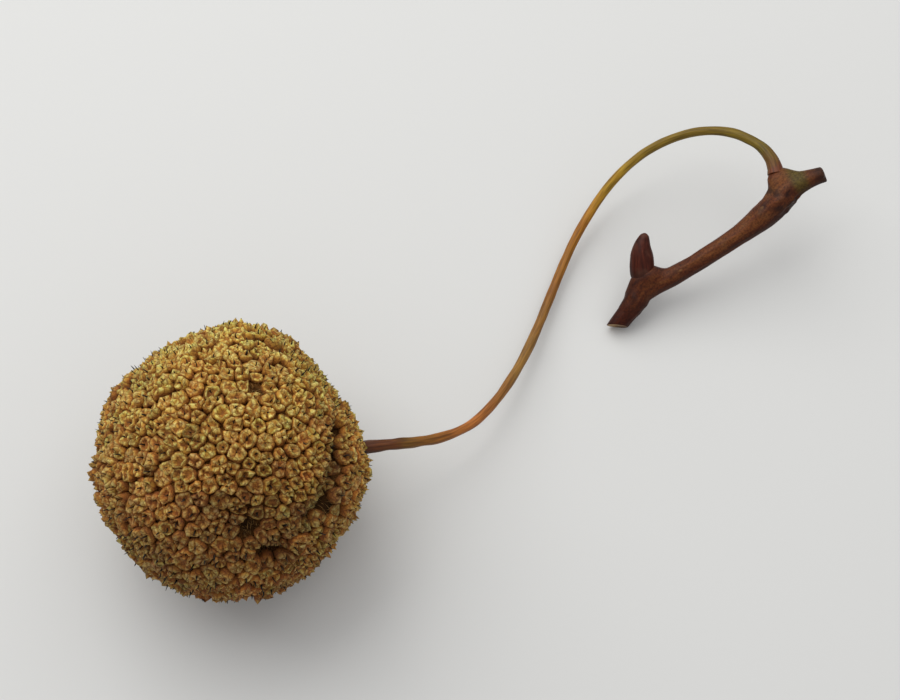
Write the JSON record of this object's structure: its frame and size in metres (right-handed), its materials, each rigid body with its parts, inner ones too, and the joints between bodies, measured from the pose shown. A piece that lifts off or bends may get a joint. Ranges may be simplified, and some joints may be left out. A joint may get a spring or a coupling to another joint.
{
  "type": "sycamore seed ball",
  "caption": "Dried sycamore seed ball with raised seed tips, on a long curved stalk that still joins a short twig with one bud.",
  "frame": {"origin": "centre of the ball's flat resting spot, on the surface that it lies on", "axes": "+X from the ball towards the twig, the object's longest way; -Z into the surface, out of the resting spot"},
  "size_m": [0.0883, 0.0624, 0.0314],
  "materials": {
    "seed_tips": "dry, matte, tan to olive tips with dark brown gaps",
    "stalk_bark": "dry, faintly ribbed, olive to orange brown",
    "twig_bark": "smooth reddish brown bark, slightly waxy",
    "bud_cap": "smooth dark maroon bud scale, slightly waxy"
  },
  "bodies": {
    "root": {"seed_head": "seed_tips", "stalk": "stalk_bark", "twig": "twig_bark", "bud": "bud_cap"}
  },
  "joints": []
}
